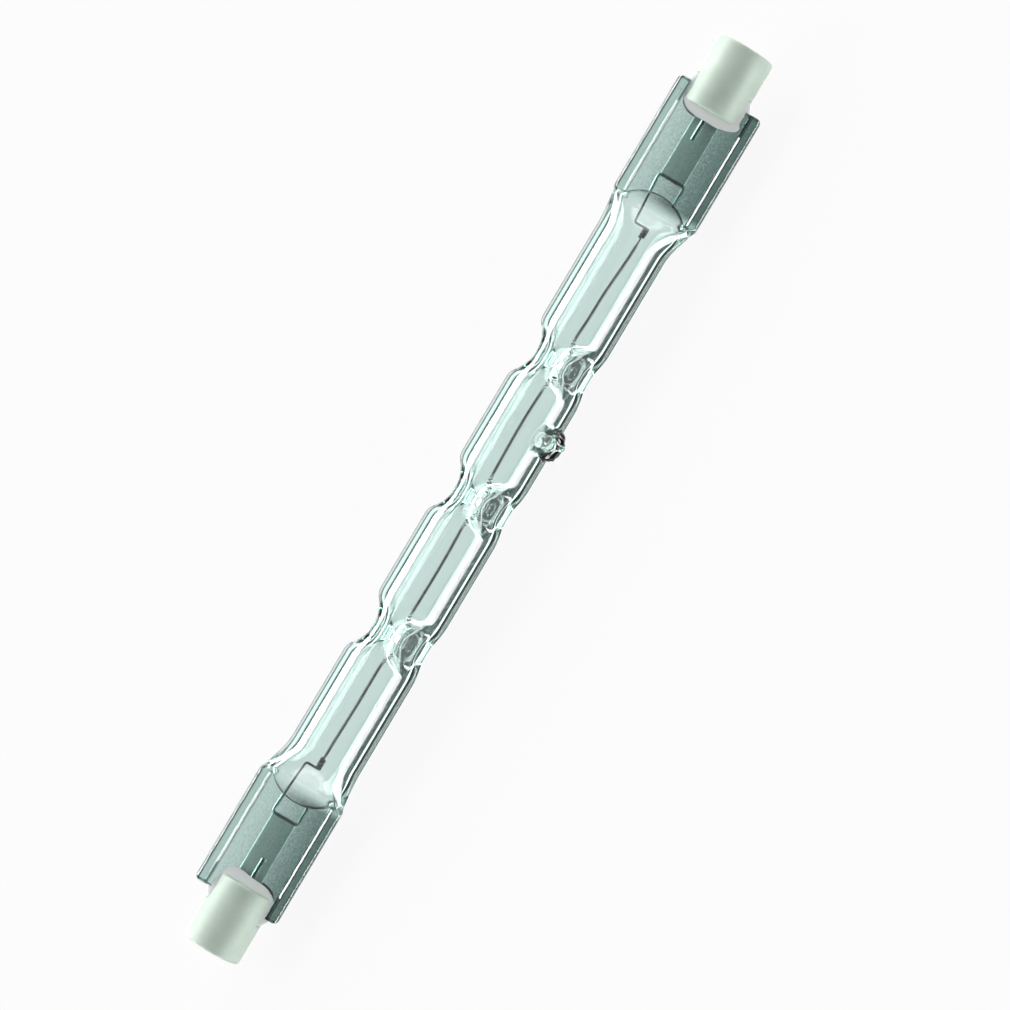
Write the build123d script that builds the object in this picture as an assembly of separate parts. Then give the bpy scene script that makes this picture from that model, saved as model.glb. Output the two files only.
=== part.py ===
from build123d import *
import math
import os

# Linear halogen bulb, double-ended, for recessed-contact sockets.
# Lamp frame: X along the bulb, Z square to the flat press seals, origin on the tube's axis midway
# between the caps. The finished bulb is laid down at the end, as it comes to rest on a table.

# Overall size, and the contact faces' depth below the rims of the caps
overall_length = 118.0
contact_depth = 1.9

# Quartz tube
tube_od = 8.8
tube_wall = 1.0

# Necks: three dimples round the tube at each of three stations, almost touching the filament
neck_count = 3
neck_spacing = 17.9
neck_row_shift = -0.24
neck_length = 8.6
neck_flat_length = 1.5
dimple_count = 3
filament_clearance = 0.15
lobe_retreat = 0.45
dimple_hollow_radius = 1.8
dimple_half_angle = 22.0

# Exhaust tip, sealed off and left leaning a little
tip_station = 9.4
tip_angle = 147.0
tip_height = 2.1
tip_root_radius = 2.0
tip_crown_radius = 1.05
tip_throat_height = 0.47
tip_root_sweep = 0.15
tip_bore_radius = 0.75
tip_bore_end_radius = 0.25
tip_wall = 0.9
tip_nub_radius = 0.4
tip_nub_end_radius = 0.2
tip_nub_height = 0.7
tip_nub_lean = 25.0

# Press seals: flat web between two thick rounded side rims, off the tube's axis by turns
seal_width = 10.7
seal_web_thickness = 3.0
seal_rim_thickness = 3.7
seal_rim_width = 1.25
seal_rim_rounding = 0.6
seal_rim_slope = 0.35
seal_length = 14.6
seal_corner_radius = 0.6
seal_offset = 0.33
shoulder_length = 4.7
shoulder_sink = 1.0
shoulder_undercut = 0.2
shoulder_squareness = 3.0

# End of the chamber inside the shoulder: a flat wedge with a rounded front
chamber_end_reach = 1.8
chamber_end_arc_depth = 1.9
chamber_end_width = 8.2
chamber_end_thickness = 0.6

# Wires and foils
filament_od = 0.5
neck_filament_od = 0.42
filament_tail_diameter = 0.25
inner_lead_diameter = 0.28
hook_arm_spacing = 3.25
hook_depth = 3.9
hook_corner_cut = 0.4
hook_free_arm_reach = 0.5
elbow_height = 1.2
elbow_setback = 2.95
elbow_cut = 0.25
clamp_drop = 0.35
clamp_length = 1.12
open_wound_length = 6.7
foil_width = 3.0
foil_thickness = 0.05
foil_length = 8.1
foil_overlap = 0.25
outer_pin_diameter = 0.5
weld_flat = 0.2
outer_pin_weld_length = 2.8
inner_lead_capillary = 0.03
outer_pin_capillary = 0.085

# Ceramic caps
cap_od = 7.1
cap_length = 8.36
cap_seal_engagement = 2.16
cap_slot_depth = 3.45
cap_slot_clearance = 0.15
cap_rim_chamfer = 0.3
cap_recess_diameter = 4.0
cap_recess_chamfer = 0.2
contact_seat_diameter = 3.6
contact_seat_rise = 0.1

# Contacts: a rivet with a broad face, on the pin that comes out of the seal
contact_face_thickness = 0.6
contact_face_clearance = 0.1
contact_shank_diameter = 1.4
contact_shank_clearance = 0.05
contact_edge_chamfer = 0.15
pin_hole_clearance = 0.05
pin_hole_depth = 1.5

# Cement, squeezed out of the slots into a dome over the seal
cement_dome_reach = 2.0
cement_dome_radius = 3.35
cement_side_bulge = 0.3
cement_back_recess = 0.35

# Smoothness of the shaped glass
section_points = 36
neck_ramp_steps = 4
shoulder_steps = 5

# Places that follow from the sizes above
half_length = overall_length / 2
tube_radius = tube_od / 2
bore_radius = tube_radius - tube_wall
dimple_depth = bore_radius - filament_od / 2 - filament_clearance
cap_inner_end = half_length - cap_length
seal_outer_end = cap_inner_end + cap_seal_engagement
seal_inner_end = seal_outer_end - seal_length
shoulder_start = seal_inner_end - shoulder_length
chamber_end = seal_inner_end + chamber_end_reach
elbow_station = seal_inner_end - elbow_setback
web_half = seal_web_thickness / 2
rim_half = seal_rim_thickness / 2
slot_bottom = cap_inner_end + cap_slot_depth
contact_face = half_length - contact_depth
recess_bottom = contact_face - contact_face_thickness
seat_end = contact_face + contact_seat_rise
foil_face = -(outer_pin_diameter / 2) * (1 - weld_flat)
lead_plane = foil_face + (inner_lead_diameter / 2) * (1 - weld_flat)
hook_bar = seal_inner_end + hook_depth
foil_inner_end = hook_bar - foil_overlap
foil_outer_end = foil_inner_end + foil_length
pin_inner_end = foil_outer_end - outer_pin_weld_length
stations = [
    neck_row_shift + neck_spacing * (i - (neck_count - 1) / 2) for i in range(neck_count)
]


def ease(t):
    """Slow start and slow end between 0 and 1."""
    return (1 - math.cos(math.pi * t)) / 2


def closed_section(x, outline):
    """Face across the bulb at x, bounded by a closed curve through outline's (y, z) points."""
    points = [Vector(x, y, z) for y, z in outline]
    even = [i / len(points) for i in range(len(points) + 1)]
    return Face(Wire([Edge.make_spline(points, periodic=True, parameters=even)]))


def round_section(x, radius):
    return Plane(origin=(x, 0, 0), x_dir=(0, 1, 0), z_dir=(1, 0, 0)) * Circle(radius)


def circle_point(x, radius, angle):
    return Vector(x, radius * math.cos(angle), radius * math.sin(angle))


def split_ring(x, radius):
    """Round section of the tube, in as many arcs as a neck's section has."""
    arcs = []
    turn = math.pi / dimple_count
    dimple_half = math.radians(dimple_half_angle)
    for i in range(dimple_count):
        middle = 2 * i * turn
        for centre, half in ((middle, dimple_half), (middle + turn, turn - dimple_half)):
            ends = [circle_point(x, radius, centre - half), circle_point(x, radius, centre + half)]
            arcs.append(ThreePointArc(ends[0], circle_point(x, radius, centre), ends[1]))
    return Face(Wire(arcs))


def neck_section(x, radius, hollow_radius, share):
    """Section of a neck: dimples and lobes as arcs that run into each other.

    As share grows to 1 the dimples' arcs bulge less, go flat, and then hollow to hollow_radius.
    The lobes' arcs get the radius at which they meet the dimples' arcs smoothly.
    """
    turn = math.pi / dimple_count
    flat_share = hollow_radius / (hollow_radius + radius)
    dimple_floor = radius - share * dimple_depth
    lobe_top = radius - share * lobe_retreat
    hollow = radius / (share / flat_share - 1)
    hollow_centre = dimple_floor + hollow
    across = hollow_centre * math.cos(turn)
    lobe = (hollow**2 - lobe_top**2 - hollow_centre**2 + 2 * lobe_top * across) / (
        2 * (across - lobe_top - hollow)
    )
    lobe_centre = lobe_top - lobe
    joints = []
    for i in range(dimple_count):
        middle = 2 * i * turn
        for side in (-turn, turn):
            start = circle_point(x, lobe_centre, middle + side)
            run = circle_point(x, hollow_centre, middle) - start
            joints.append(start + run.normalized() * math.copysign(lobe, hollow))
    arcs = []
    for i in range(dimple_count):
        middle = 2 * i * turn
        after = joints[(2 * i + 2) % len(joints)]
        floor = circle_point(x, dimple_floor, middle)
        arcs.append(ThreePointArc(joints[2 * i], floor, joints[2 * i + 1]))
        arcs.append(ThreePointArc(joints[2 * i + 1], circle_point(x, lobe_top, middle + turn), after))
    return Face(Wire(arcs))


def neck(x, radius, hollow_radius):
    """One neck: round at both ends, three-lobed in the middle."""
    half = neck_length / 2
    ramp = half - neck_flat_length / 2
    steps = [i / neck_ramp_steps for i in range(1, neck_ramp_steps + 1)]
    rise = [(ramp * step - half, ease(step)) for step in steps]
    sections = [neck_section(x + place, radius, hollow_radius, share) for place, share in rise]
    sections += [neck_section(x - place, radius, hollow_radius, share) for place, share in reversed(rise)]
    return loft([split_ring(x - half, radius), *sections, split_ring(x + half, radius)], ruled=True)


def squared_outline(half_y, half_z, squareness, shift):
    """Oval that turns from round to boxy as squareness grows from 2."""
    outline = []
    for i in range(section_points):
        angle = 2 * math.pi * i / section_points
        c = math.cos(angle)
        s = math.sin(angle)
        y = half_y * math.copysign(abs(c) ** (2 / squareness), c)
        z = half_z * math.copysign(abs(s) ** (2 / squareness), s)
        outline.append((y + shift, z))
    return outline


def shoulder(start, end, radius, end_half_y, end_half_z, shift):
    """Tube flattened into the seal: round at start, wide and thin at end."""
    sections = [round_section(start, radius)]
    for i in range(1, shoulder_steps + 1):
        t = i / shoulder_steps
        blend = ease(t)
        half_y = radius + (end_half_y - radius) * blend
        half_z = radius + (end_half_z - radius) * blend
        squareness = 2 + (shoulder_squareness - 2) * blend
        outline = squared_outline(half_y, half_z, squareness, shift * blend)
        sections.append(closed_section(start + (end - start) * t, outline))
    return loft(sections)


def straight_tube(start, end, radius):
    return extrude(round_section(start, radius), end - start)


def tube_with_necks(radius, hollow_radius):
    """Round tube between the shoulders, with a neck at each station."""
    runs = []
    start = -shoulder_start
    for x in stations:
        runs.append(straight_tube(start, x - neck_length / 2, radius))
        runs.append(neck(x, radius, hollow_radius))
        start = x + neck_length / 2
    return straight_tube(start, shoulder_start, radius) + runs


def seal_block(shift):
    """Press seal of the +X end: web and side rims, with rounded corners at its outer end."""
    y = seal_width / 2
    inner = y - seal_rim_width
    foot = inner - seal_rim_slope
    quarter = [(foot, web_half), (inner, rim_half), (y, rim_half)]
    right = quarter + [(a, -b) for a, b in reversed(quarter)]
    outline = right + [(-a, -b) for a, b in right]
    plane = Plane(origin=(seal_inner_end, shift, 0), x_dir=(0, 1, 0), z_dir=(1, 0, 0))
    section = make_face(Polyline(*outline, close=True))
    corners = [v for v in section.vertices() if abs(abs(v.X) - y) < 1e-6]
    section = fillet(corners, seal_rim_rounding)
    block = extrude(plane * section, seal_length)
    plan = Pos(seal_outer_end - seal_length, shift, 0) * RectangleRounded(
        2 * seal_length, seal_width, seal_corner_radius
    )
    return block & extrude(plan, rim_half, both=True)


def chamber_wedge(shift):
    """Hollow inside the +X shoulder, down to the rounded front where the glass is pressed shut."""
    front = chamber_end - chamber_end_arc_depth / 2
    half_y = chamber_end_width / 2
    half_z = chamber_end_thickness / 2
    hollow = shoulder(shoulder_start, front, bore_radius, half_y, half_z, shift)
    hollow += extrude(hollow.faces().sort_by(Axis.X)[-1], chamber_end_arc_depth)
    arc_radius = (half_y**2 + chamber_end_arc_depth**2) / (2 * chamber_end_arc_depth)
    room = Pos(chamber_end - arc_radius, shift, 0) * Cylinder(arc_radius, 2 * tube_od)
    back = Box(2 * arc_radius, 4 * arc_radius, 2 * tube_od)
    room += Pos(chamber_end - 2 * arc_radius, shift, 0) * back
    return hollow & room


def tip_frame():
    """Frame at the tube's axis under the exhaust tip, its Z pointing out through the tip."""
    angle = math.radians(tip_angle)
    out = (0, math.cos(angle), math.sin(angle))
    return Plane(origin=(tip_station, 0, 0), x_dir=(1, 0, 0), z_dir=out)


def tip_outer():
    """Sealed-off stub of the exhaust tube, with the small nub left where the flame cut it."""
    root = bore_radius + tube_wall / 2
    crown = tube_radius + tip_height - tip_nub_height
    throat = tube_radius + tip_throat_height
    profile = [
        Line((0, root), (tip_root_radius, root)),
        ThreePointArc(
            (tip_root_radius, root),
            ((tip_root_radius + tip_crown_radius) / 2 - tip_root_sweep, (root + throat) / 2),
            (tip_crown_radius, throat),
        ),
        ThreePointArc(
            (tip_crown_radius, throat),
            (tip_crown_radius * math.cos(math.pi / 4), throat + (crown - throat) * math.sin(math.pi / 4)),
            (0, crown),
        ),
        Line((0, crown), (0, root)),
    ]
    stub = revolve(Plane.XZ * make_face(profile), Axis.Z)
    nub = Cone(tip_nub_radius, tip_nub_end_radius, 2 * tip_nub_height)
    nub = Pos(0, 0, crown) * Rot(0, tip_nub_lean, 0) * nub
    return tip_frame() * (stub + nub)


def tip_bore():
    """Funnel that the exhaust tube left inside, closed under the tip."""
    depth = tube_radius + tip_height - tip_nub_height - tip_wall - bore_radius
    funnel = Cone(tip_bore_radius, tip_bore_end_radius, 2 * depth)
    return tip_frame() * (Pos(0, 0, bore_radius) * funnel)


def pressed_end(shift):
    """Outside of the +X end: shoulder and press seal."""
    flattened = shoulder(
        shoulder_start,
        seal_inner_end + shoulder_sink,
        tube_radius,
        seal_width / 2 - shoulder_undercut,
        web_half - shoulder_undercut,
        shift,
    )
    return flattened + seal_block(shift)


def lead_path(shift):
    """Hook in the seal, then along the chamber to the elbow and in to the clamp coil."""
    half = hook_arm_spacing / 2
    free_end = chamber_end - hook_free_arm_reach
    corners = [
        (Vector(free_end, shift - half, lead_plane), 0),
        (Vector(hook_bar, shift - half, lead_plane), hook_corner_cut),
        (Vector(hook_bar, shift + half, lead_plane), hook_corner_cut),
        (Vector(elbow_station, shift + elbow_height, lead_plane), elbow_cut),
        (Vector(elbow_station, shift - clamp_drop, lead_plane), 0),
    ]
    points = [corners[0][0]]
    for i in range(1, len(corners) - 1):
        corner, cut = corners[i]
        points.append(corner + (corners[i - 1][0] - corner).normalized() * cut)
        points.append(corner + (corners[i + 1][0] - corner).normalized() * cut)
    return Polyline(*points, corners[-1][0])


def wire(path, diameter):
    section = Plane(origin=path @ 0, z_dir=path % 0) * Circle(diameter / 2)
    return sweep(section, path=path, transition=Transition.RIGHT)


def clamp_coil(shift):
    """Close turns of the lead round the filament's end, as the outer shape of the winding."""
    radius = filament_od / 2 + inner_lead_diameter / 2
    start = elbow_station - clamp_length / 2
    return Pos(0, shift - clamp_drop, 0) * round_bar(start, start + clamp_length, 2 * radius)


def inner_lead(shift):
    """Inner lead with its clamp coil, flattened where it is welded to the foil."""
    lead = wire(lead_path(shift), inner_lead_diameter) + clamp_coil(shift)
    lead -= filament_tail(shift)
    return lead - weld_room(shift)


def filament_tail(shift):
    start = elbow_station - clamp_length / 2
    return Pos(0, shift - clamp_drop, 0) * round_bar(start, start + clamp_length, filament_tail_diameter)


def weld_room(shift):
    """The foil and the room under it, which the wires on it don't reach into."""
    depth = outer_pin_diameter
    x = (foil_inner_end + foil_outer_end) / 2
    return Pos(x, shift, foil_face - depth / 2) * Box(foil_length, foil_width, depth)


def seal_foil(shift):
    x = (foil_inner_end + foil_outer_end) / 2
    foil = Box(foil_length, foil_width, foil_thickness)
    return Pos(x, shift, foil_face - foil_thickness / 2) * foil


def round_bar(start, end, diameter):
    """Bar along the bulb's axis."""
    return extrude(round_section(start, diameter / 2), end - start)


def outer_pin(shift):
    pin = round_bar(pin_inner_end, slot_bottom + pin_hole_depth - pin_hole_clearance, outer_pin_diameter)
    return pin - weld_room(shift)


def pin_capillary():
    bore = outer_pin_diameter + 2 * outer_pin_capillary
    return round_bar(pin_inner_end - outer_pin_capillary, seal_outer_end, bore)


def lead_capillary(shift):
    return wire(lead_path(shift), inner_lead_diameter + 2 * inner_lead_capillary)


def slot_box(end):
    """Room of the cap's slot, from the cap's inner end to the slot's bottom."""
    height = seal_web_thickness + 2 * cap_slot_clearance
    length = end - cap_inner_end
    return Pos(cap_inner_end + length / 2, 0, 0) * Box(length, 2 * cap_od, height)


def ceramic_cap():
    """Pressed ceramic cap: slotted for the seal, bored for the rivet, recessed for the contact."""
    cap = round_bar(cap_inner_end, half_length, cap_od)
    cap = chamfer(cap.edges().filter_by(GeomType.CIRCLE), cap_rim_chamfer)
    cap -= round_bar(seat_end, half_length, cap_recess_diameter)
    mouth = [
        edge
        for edge in cap.edges().filter_by(GeomType.CIRCLE)
        if abs(edge.radius - cap_recess_diameter / 2) < 1e-6 and abs(edge.center().X - half_length) < 1e-6
    ]
    cap = chamfer(mouth, cap_recess_chamfer)
    cap -= round_bar(recess_bottom, seat_end, contact_seat_diameter)
    cap -= round_bar(slot_bottom, recess_bottom, contact_shank_diameter + 2 * contact_shank_clearance)
    return cap - slot_box(slot_bottom)


def contact():
    """Contact rivet, drilled to take the pin."""
    head_diameter = contact_seat_diameter - 2 * contact_face_clearance
    head = round_bar(recess_bottom, contact_face, head_diameter)
    rim = head.edges().filter_by(GeomType.CIRCLE).sort_by(Axis.X)[-1]
    head = chamfer(rim, contact_edge_chamfer)
    rivet = head + round_bar(slot_bottom, recess_bottom, contact_shank_diameter)
    hole = outer_pin_diameter + 2 * pin_hole_clearance
    return rivet - round_bar(slot_bottom, slot_bottom + pin_hole_depth, hole)


def cement(shift, seal):
    """Cement in the slot round the seal, and domed on the seal's faces in front of the cap."""
    ball = (cement_dome_radius**2 + cement_dome_reach**2) / (2 * cement_dome_reach)
    dome = Pos(cap_inner_end - cement_dome_reach + ball, 0, 0) * Sphere(ball)
    dome &= round_bar(cap_inner_end - cement_dome_reach, cap_inner_end, 2 * cement_dome_radius)
    swell = round_bar(cap_inner_end, seal_outer_end, cap_od + 2 * cement_side_bulge)
    back = round_bar(seal_outer_end, slot_bottom, cap_od - 2 * cement_back_recess)
    fill = (swell + back) & slot_box(slot_bottom)
    return dome + fill - seal - outer_pin(shift)


def filament_bar(start, end, diameter):
    """Bar of the filament between two (x, y) points."""
    run = Vector(end[0] - start[0], end[1] - start[1], 0)
    section = Plane(origin=(start[0], start[1], 0), z_dir=run) * Circle(diameter / 2)
    return extrude(section, run.length)


def filament():
    """Filament as its coil's outer shape: full where it is lit, slimmer where it passes the necks."""
    inner = elbow_station - clamp_length / 2
    outer = elbow_station + clamp_length / 2
    left_y = seal_offset - clamp_drop
    right_y = -seal_offset - clamp_drop
    half_open = open_wound_length / 2
    bars = [filament_bar((-outer, left_y), (-inner, left_y), filament_tail_diameter)]
    place = (-inner, left_y)
    for x in stations:
        bars.append(filament_bar(place, (x - half_open, 0), filament_od))
        bars.append(filament_bar((x - half_open, 0), (x + half_open, 0), neck_filament_od))
        place = (x + half_open, 0)
    bars.append(filament_bar(place, (inner, right_y), filament_od))
    bars.append(filament_bar((inner, right_y), (outer, right_y), filament_tail_diameter))
    return bars[0] + bars[1:]


def build():
    """All pieces in the lamp frame, by name."""
    pieces = {}
    body = tube_with_necks(tube_radius, dimple_hollow_radius) + tip_outer()
    chamber = tube_with_necks(bore_radius, dimple_hollow_radius + tube_wall) + tip_bore()
    for side, sign in (("left", -1), ("right", 1)):
        shift = -sign * seal_offset
        seal = pressed_end(shift)
        hollows = [chamber_wedge(shift), seal_foil(shift), pin_capillary(), lead_capillary(shift)]
        made = {
            f"seal_foil_{side}": seal_foil(shift),
            f"outer_lead_{side}": outer_pin(shift),
            f"filament_lead_{side}": inner_lead(shift),
            f"ceramic_cap_{side}": ceramic_cap(),
            f"contact_{side}": contact(),
            f"cap_cement_{side}": cement(shift, seal),
        }
        if sign < 0:
            seal = mirror(seal, Plane.YZ)
            hollows = [mirror(hollow, Plane.YZ) for hollow in hollows]
            made = {name: mirror(piece, Plane.YZ) for name, piece in made.items()}
        body += seal
        chamber += hollows
        pieces.update(made)
    pieces["quartz_envelope"] = body - chamber
    pieces["filament"] = filament()
    return pieces


def laid_down(pieces):
    """The bulb rolled on its tube until the lower rim of a seal meets the table."""
    corner_y = seal_width / 2 + seal_offset - seal_rim_rounding
    corner_z = rim_half - seal_rim_rounding
    reach = math.hypot(corner_y, corner_z)
    roll = math.asin((tube_radius - seal_rim_rounding) / reach) - math.atan2(corner_z, corner_y)
    rolled = {name: Rot(math.degrees(roll), 0, 0) * piece for name, piece in pieces.items()}
    box = Compound([part.solid() for part in rolled.values()]).bounding_box()
    down = Pos(-box.center().X, -box.center().Y, tube_radius)
    return {name: down * piece for name, piece in rolled.items()}


os.makedirs("parts", exist_ok=True)
for name, piece in laid_down(build()).items():
    export_step(piece, f"parts/{name}.step")
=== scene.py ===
import math

import bpy
import numpy as np
from mathutils import Matrix, Vector, noise


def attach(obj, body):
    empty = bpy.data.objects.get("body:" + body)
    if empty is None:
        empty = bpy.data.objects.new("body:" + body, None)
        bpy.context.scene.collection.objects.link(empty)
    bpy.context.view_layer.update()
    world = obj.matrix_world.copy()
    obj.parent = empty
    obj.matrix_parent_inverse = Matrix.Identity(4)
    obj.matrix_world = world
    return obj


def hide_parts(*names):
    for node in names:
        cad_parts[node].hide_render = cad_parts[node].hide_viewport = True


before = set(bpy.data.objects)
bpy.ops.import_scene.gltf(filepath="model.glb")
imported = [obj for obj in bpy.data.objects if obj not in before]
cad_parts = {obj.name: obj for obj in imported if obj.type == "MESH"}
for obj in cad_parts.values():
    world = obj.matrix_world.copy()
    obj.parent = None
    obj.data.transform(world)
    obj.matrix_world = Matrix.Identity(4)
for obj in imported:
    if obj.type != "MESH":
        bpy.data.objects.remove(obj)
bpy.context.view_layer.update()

# Quartz envelope. One piece of clear fused silica: a tube with three necks, each pressed in by three
# dimples so that the filament is kept off the wall, a sealed exhaust stub, and both ends collapsed
# and pressed flat round the wires. It is drawn across the bulb, ring by ring, in millimetres.
tube_radius = 4.4
bore_radius = 3.4
neck_stations = (-18.14, -0.24, 17.66)
neck_half = 4.5
neck_flat = 0.4
neck_lobe_retreat = 0.45
neck_dimple_depth = 3.0
neck_sharpness = 1.8
shoulder_start = 33.5
seal_inner_end = 38.2
seal_outer_end = 52.8
seal_offset = 0.33
seal_half_width = 5.35
seal_web_half = 1.5
seal_rim_half = 1.85
rim_rounding = 0.6
web_edge = 3.75
web_start = seal_inner_end + 0.3
chamber_end = 40.0
chamber_half_width = 4.1
chamber_end_half = 0.3
ring_points = 96

# The bulb rests on the table on its tube and on one rim of the seals
rest_y, rest_z = seal_half_width + seal_offset - rim_rounding, seal_rim_half - rim_rounding
roll = math.asin((tube_radius - rim_rounding) / math.hypot(rest_y, rest_z)) - math.atan2(rest_z, rest_y)
rest_shift = 0.4852
millimetre = Matrix.Scale(0.001, 4)
to_table = millimetre @ Matrix.Translation((0, rest_shift, tube_radius)) @ Matrix.Rotation(roll, 4, "X")


def laid(points):
    """Points along, across and square to the seals, as they lie on the table, in metres."""
    m = np.array(to_table)
    return np.asarray(points, float) @ m[:3, :3].T + m[:3, 3]


def new_piece(name, points, faces, material, smooth=True):
    """An object of the points that its faces use, with one material."""
    used = sorted({v for face in faces for v in face})
    number = {v: k for k, v in enumerate(used)}
    faces = [tuple(number[v] for v in face) for face in faces]
    mesh = bpy.data.meshes.new(name)
    mesh.from_pydata(laid([points[v] for v in used]).tolist(), [], faces)
    mesh.materials.append(material)
    mesh.polygons.foreach_set("use_smooth", [smooth] * len(mesh.polygons))
    mesh.update()
    made = bpy.data.objects.new(name, mesh)
    bpy.context.scene.collection.objects.link(made)
    return made


def shader(name):
    """A new material, its principled shader, and functions that add and join nodes."""
    material = bpy.data.materials.new(name)
    material.use_nodes = True
    tree = material.node_tree
    surface = tree.nodes["Principled BSDF"]

    def add(kind, **settings):
        node = tree.nodes.new(kind)
        for key, value in settings.items():
            if hasattr(node, key):
                setattr(node, key, value)
            else:
                node.inputs[key.replace("_", " ")].default_value = value
        return node

    return material, surface, add, tree.links.new


def ease(t):
    """Smooth rise from 0 to 1."""
    t = min(max(t, 0.0), 1.0)
    return (1 - math.cos(math.pi * t)) / 2


def side_shift(x):
    """How far the seal at this end stands off the tube's axis."""
    return seal_offset if x < 0 else -seal_offset


def pressed_tube(x, radius, power):
    """Round tube, pressed in by three dimples near a neck."""
    near = min(abs(x - station) for station in neck_stations)
    share = ease((neck_half - near) / (neck_half - neck_flat)) ** neck_sharpness
    turns = np.linspace(0, 2 * math.pi, ring_points, endpoint=False)
    dimple = np.abs(np.cos(1.5 * turns)) ** power
    r = radius - share * (neck_lobe_retreat + (neck_dimple_depth - neck_lobe_retreat) * dimple)
    return np.stack([r * np.cos(turns), r * np.sin(turns)], 1)


def flattened(x, radius, end, half_width, half_thickness):
    """Tube collapsing towards the seal: round at the shoulder's start, wide and boxy at its end."""
    blend = ease((abs(x) - shoulder_start) / (end - shoulder_start))
    turns = np.linspace(0, 2 * math.pi, ring_points, endpoint=False)
    squareness = 2 + blend
    half_y = radius + (half_width - radius) * blend
    half_z = radius + (half_thickness - radius) * blend
    c, s = np.cos(turns), np.sin(turns)
    y = half_y * np.sign(c) * np.abs(c) ** (2 / squareness) + side_shift(x) * blend
    z = half_z * np.sign(s) * np.abs(s) ** (2 / squareness)
    return np.stack([y, z], 1)


def seal_section(x):
    """Press seal across: flat web between two thicker rounded rims."""
    steps = ring_points // 4
    side_y, side_z = seal_half_width - rim_rounding, seal_rim_half - rim_rounding
    quarter = []
    for i in range(steps):
        q = i / steps
        if q < 0.12:
            quarter.append((seal_half_width, side_z * q / 0.12))
        elif q < 0.34:
            a = math.pi / 2 * (q - 0.12) / 0.22
            quarter.append((side_y + rim_rounding * math.cos(a), side_z + rim_rounding * math.sin(a)))
        elif q < 0.76:
            y = side_y + (web_edge - side_y) * (q - 0.34) / 0.42
            drop = ease((side_y - y - 0.4) / 0.55)
            quarter.append((y, seal_rim_half + (seal_web_half - seal_rim_half) * drop))
        else:
            quarter.append((web_edge * (1 - (q - 0.76) / 0.24), seal_web_half))
    top = (0.0, seal_web_half)
    half = quarter + [top] + [(-y, z) for y, z in reversed(quarter[1:])]
    outline = half + [(-quarter[0][0], 0.0)] + [(-y, -z) for y, z in half[1:]]
    outline = np.array(outline[:ring_points])
    close = rim_rounding - (seal_outer_end - abs(x))
    if close > 0:
        trim = rim_rounding - math.sqrt(max(rim_rounding**2 - close * close, 0.0))
        outline[:, 0] = np.clip(outline[:, 0], trim - seal_half_width, seal_half_width - trim)
    outline[:, 0] += side_shift(x)
    return outline


def outside(x):
    """Outer ring of the glass at this place along the bulb."""
    at = abs(x)
    if at <= shoulder_start:
        return pressed_tube(x, tube_radius, 4)
    if at >= web_start:
        return seal_section(x)
    shoulder = flattened(x, tube_radius, seal_inner_end + 1.0, seal_half_width - 0.2, seal_web_half - 0.2)
    w = ease((at - seal_inner_end + 0.7) / 1.0)
    return shoulder * (1 - w) + seal_section(math.copysign(web_start, x)) * w


def spaced(start, end, step):
    """Even places from start up to, but without, end."""
    count = max(1, math.ceil(abs(end - start) / step - 1e-6))
    return list(np.linspace(start, end, count, endpoint=False))


def ring_places(last):
    """Places of the rings along the bulb: close together where the glass changes shape."""
    web_settled = seal_inner_end + 0.4
    edges = [-seal_outer_end, -seal_outer_end + rim_rounding, -web_settled, -shoulder_start]
    steps = [0.06, 1.0, 0.15]
    for station in neck_stations:
        edges += [station - neck_half, station + neck_half]
        steps += [0.8, 0.14]
    edges += [shoulder_start, web_settled, seal_outer_end - rim_rounding, seal_outer_end]
    steps += [0.8, 0.15, 1.0, 0.06]
    tip_from, tip_to = 6.95, 11.85
    places = []
    for a, b, step in zip(edges, edges[1:], steps):
        if a < tip_from < b:
            places += spaced(a, tip_from, step) + spaced(tip_from, tip_to, 0.3) + spaced(tip_to, b, step)
        else:
            places += spaced(a, b, step)
    places.append(seal_outer_end)
    return [x for x in places if abs(x) <= last + 1e-9]


tip_station = 9.4
tip_turn = math.radians(147)
tip_waves = 0.06
tip_lumps = 0.34


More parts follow.
